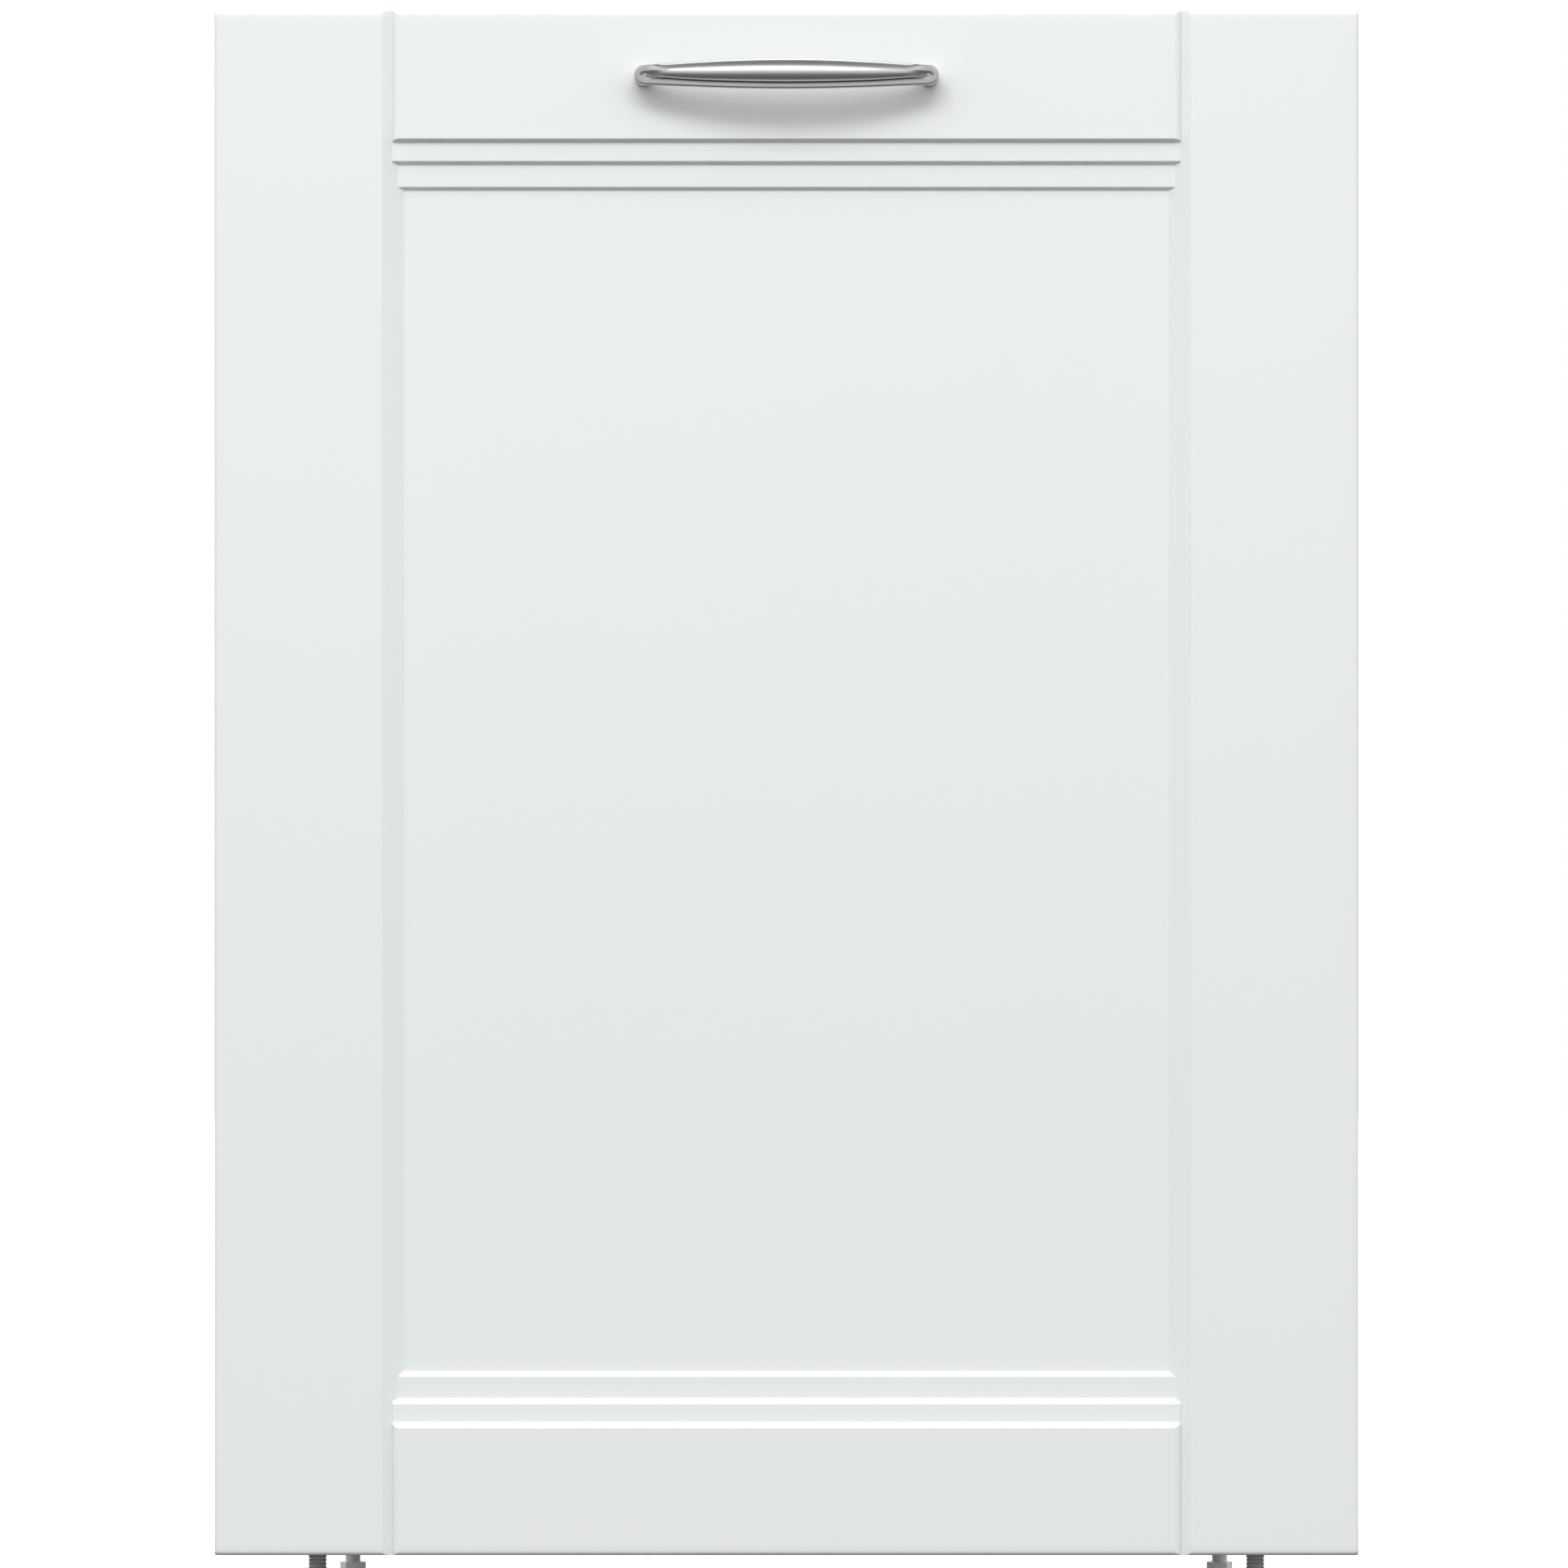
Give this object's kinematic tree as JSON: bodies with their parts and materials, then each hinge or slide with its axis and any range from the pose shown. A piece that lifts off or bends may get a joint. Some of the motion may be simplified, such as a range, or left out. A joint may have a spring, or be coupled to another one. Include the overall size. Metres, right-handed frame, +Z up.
{
  "type": "built-in dishwasher",
  "caption": "Built-in dishwasher with a white stile-and-rail kitchen front, a satin bow pull, drop-down door, stainless tub, wheeled racks and spray arms",
  "frame": {"origin": "on the floor under the middle of the machine's box, with the legs screwed fully in", "axes": "+Z up, the kitchen front faces -Y, +X to the right seen from the front"},
  "size_m": [0.596, 0.605, 0.865],
  "materials": {
    "front": "satin white lacquer on moulded board",
    "nickel": "satin nickel, fine grain",
    "stainless": "brushed stainless sheet",
    "galvanised": "zinc-coated sheet, faint spangle",
    "black_plastic": "moulded, fine texture",
    "grey_plastic": "moulded, smooth",
    "white_plastic": "moulded, smooth",
    "blue_plastic": "moulded, smooth",
    "nylon": "nylon-coated wire",
    "felt": "dense felt over bitumen",
    "rubber": "soft sealing rubber",
    "glass": "smoked clear cover",
    "board": "coated circuit board"
  },
  "bodies": {
    "cabinet": {"tub": "stainless", "tub_gasket": "rubber", "base_pan": "black_plastic", "sump": "grey_plastic", "filter_plate": "stainless", "insulation_wrap": "felt", "spray_feed_pipe": "grey_plastic", "top_frame": "galvanised", "door_strike": "galvanised", "base_cover": "black_plastic", "circulation_pump": "black_plastic", "drain_pump": "black_plastic", "inlet_valve": "white_plastic", "mains_inlet": "black_plastic", "side_panel_left": "galvanised", "side_panel_right": "galvanised", "upper_rail_left": "stainless", "upper_rail_right": "stainless", "hinge_bracket_left": "galvanised", "hinge_bracket_right": "galvanised", "door_spring_left": "galvanised", "door_spring_right": "galvanised"},
    "door": {"custom_front_panel": "front", "handle": "nickel", "outer_door": "galvanised", "inner_door": "stainless", "control_fascia": "black_plastic", "display_window": "glass", "control_board": "board", "door_seal": "rubber", "dispenser_housing": "grey_plastic", "hinge_arm_left": "galvanised", "hinge_arm_right": "galvanised"},
    "dispenser_lid": {"dispenser_lid": "white_plastic"},
    "rinse_cap": {"rinse_aid_cap": "blue_plastic"},
    "latch": {"latch_hook": "black_plastic"},
    "power_key": {"power_button": "grey_plastic"},
    "program_key": {"program_button": "grey_plastic"},
    "start_key": {"start_button": "grey_plastic"},
    "lower_rack": {"lower_rack": "nylon", "cutlery_basket": "grey_plastic"},
    "front_tines": {"folding_tines_front": "nylon"},
    "rear_tines": {"folding_tines_rear": "nylon"},
    "wheel_fl": {"rack_wheel_front_left": "grey_plastic"},
    "wheel_fr": {"rack_wheel_front_right": "grey_plastic"},
    "wheel_rl": {"rack_wheel_rear_left": "grey_plastic"},
    "wheel_rr": {"rack_wheel_rear_right": "grey_plastic"},
    "upper_rack": {"upper_rack": "nylon", "upper_feed_tube": "grey_plastic"},
    "upper_arm": {"upper_spray_arm": "grey_plastic"},
    "shelf_left": {"cup_shelf_left": "grey_plastic"},
    "shelf_right": {"cup_shelf_right": "grey_plastic"},
    "cutlery_tray": {"cutlery_tray": "nylon"},
    "lower_arm": {"lower_spray_arm": "grey_plastic"},
    "filter": {"filter_cylinder": "grey_plastic"},
    "float": {"float": "grey_plastic"},
    "leg_fl": {"levelling_leg_front_left": "galvanised"},
    "leg_fr": {"levelling_leg_front_right": "galvanised"},
    "leg_rl": {"levelling_leg_rear_left": "galvanised"},
    "leg_rr": {"levelling_leg_rear_right": "galvanised"}
  },
  "joints": [
    {"name": "door_hinge", "type": "hinge", "parent": "cabinet", "child": "door", "pos_m": [0, -0.238, 0.108], "axis": [1, 0, 0], "range_deg": [0, 90]},
    {"name": "lower_rack_slide", "type": "slide", "parent": "cabinet", "child": "lower_rack", "axis": [0, -1, 0], "range_m": [0, 0.45]},
    {"name": "upper_rack_slide", "type": "slide", "parent": "cabinet", "child": "upper_rack", "axis": [0, -1, 0], "range_m": [0, 0.42]},
    {"name": "cutlery_tray_slide", "type": "slide", "parent": "cabinet", "child": "cutlery_tray", "axis": [0, -1, 0], "range_m": [0, 0.42]},
    {"name": "wheel_spin_fl", "type": "hinge", "parent": "lower_rack", "child": "wheel_fl", "pos_m": [-0.246, -0.064, 0.174], "axis": [1, 0, 0], "range_deg": [0, 1440]},
    {"name": "wheel_spin_fr", "type": "hinge", "parent": "lower_rack", "child": "wheel_fr", "pos_m": [0.246, -0.064, 0.174], "axis": [1, 0, 0], "range_deg": [0, 1440]},
    {"name": "wheel_spin_rl", "type": "hinge", "parent": "lower_rack", "child": "wheel_rl", "pos_m": [-0.246, 0.156, 0.174], "axis": [1, 0, 0], "range_deg": [0, 1440]},
    {"name": "wheel_spin_rr", "type": "hinge", "parent": "lower_rack", "child": "wheel_rr", "pos_m": [0.246, 0.156, 0.174], "axis": [1, 0, 0], "range_deg": [0, 1440]},
    {"name": "front_tines_fold", "type": "hinge", "parent": "lower_rack", "child": "front_tines", "pos_m": [-0.071, 0.07, 0.2066], "axis": [1, 0, 0], "range_deg": [0, 90]},
    {"name": "rear_tines_fold", "type": "hinge", "parent": "lower_rack", "child": "rear_tines", "pos_m": [-0.071, 0.165, 0.2066], "axis": [1, 0, 0], "range_deg": [0, 90]},
    {"name": "cup_shelf_left_fold", "type": "hinge", "parent": "upper_rack", "child": "shelf_left", "pos_m": [-0.238, -0.015, 0.545], "axis": [0, -1, 0], "range_deg": [0, 90]},
    {"name": "cup_shelf_right_fold", "type": "hinge", "parent": "upper_rack", "child": "shelf_right", "pos_m": [0.238, -0.015, 0.545], "axis": [0, 1, 0], "range_deg": [0, 90]},
    {"name": "lower_arm_spin", "type": "hinge", "parent": "cabinet", "child": "lower_arm", "pos_m": [0, 0.045, 0.183], "axis": [0, 0, 1], "continuous": true},
    {"name": "upper_arm_spin", "type": "hinge", "parent": "upper_rack", "child": "upper_arm", "pos_m": [0, 0.045, 0.427], "axis": [0, 0, 1], "continuous": true},
    {"name": "filter_turn", "type": "hinge", "parent": "cabinet", "child": "filter", "pos_m": [0.075, -0.03, 0.125], "axis": [0, 0, 1], "range_deg": [0, 90]},
    {"name": "float_lift", "type": "slide", "parent": "cabinet", "child": "float", "axis": [0, 0, 1], "range_m": [0, 0.008]},
    {"name": "dispenser_lid_slide", "type": "slide", "parent": "door", "child": "dispenser_lid", "axis": [1, 0, 0], "range_m": [0, 0.064]},
    {"name": "rinse_cap_turn", "type": "hinge", "parent": "door", "child": "rinse_cap", "pos_m": [0.072, -0.2035, 0.49], "axis": [0, 1, 0], "range_deg": [0, 90]},
    {"name": "latch_turn", "type": "hinge", "parent": "door", "child": "latch", "pos_m": [0, -0.227, 0.846], "axis": [1, 0, 0], "range_deg": [0, 12]},
    {"name": "power_press", "type": "slide", "parent": "door", "child": "power_key", "axis": [0, 0, -1], "range_m": [0, 0.0015], "stiffness_N_per_m": 900},
    {"name": "program_press", "type": "slide", "parent": "door", "child": "program_key", "axis": [0, 0, -1], "range_m": [0, 0.0015], "stiffness_N_per_m": 900},
    {"name": "start_press", "type": "slide", "parent": "door", "child": "start_key", "axis": [0, 0, -1], "range_m": [0, 0.0015], "stiffness_N_per_m": 900},
    {"name": "leg_fl_screw", "type": "slide", "parent": "cabinet", "child": "leg_fl", "axis": [0, 0, -1], "range_m": [0, 0.06]},
    {"name": "leg_fr_screw", "type": "slide", "parent": "cabinet", "child": "leg_fr", "axis": [0, 0, -1], "range_m": [0, 0.06]},
    {"name": "leg_rl_screw", "type": "slide", "parent": "cabinet", "child": "leg_rl", "axis": [0, 0, -1], "range_m": [0, 0.06]},
    {"name": "leg_rr_screw", "type": "slide", "parent": "cabinet", "child": "leg_rr", "axis": [0, 0, -1], "range_m": [0, 0.06]}
  ],
  "couplings": [
    {"joint": "lower_rack_slide", "follows": "door_hinge", "m_per_rad": 0.125},
    {"joint": "upper_rack_slide", "follows": "door_hinge", "m_per_rad": 0.2673},
    {"joint": "cutlery_tray_slide", "follows": "door_hinge", "m_per_rad": 0.2673},
    {"joint": "wheel_spin_fl", "follows": "door_hinge", "ratio": 6.9444},
    {"joint": "wheel_spin_fr", "follows": "door_hinge", "ratio": 6.9444},
    {"joint": "wheel_spin_rl", "follows": "door_hinge", "ratio": 6.9444},
    {"joint": "wheel_spin_rr", "follows": "door_hinge", "ratio": 6.9444}
  ]
}
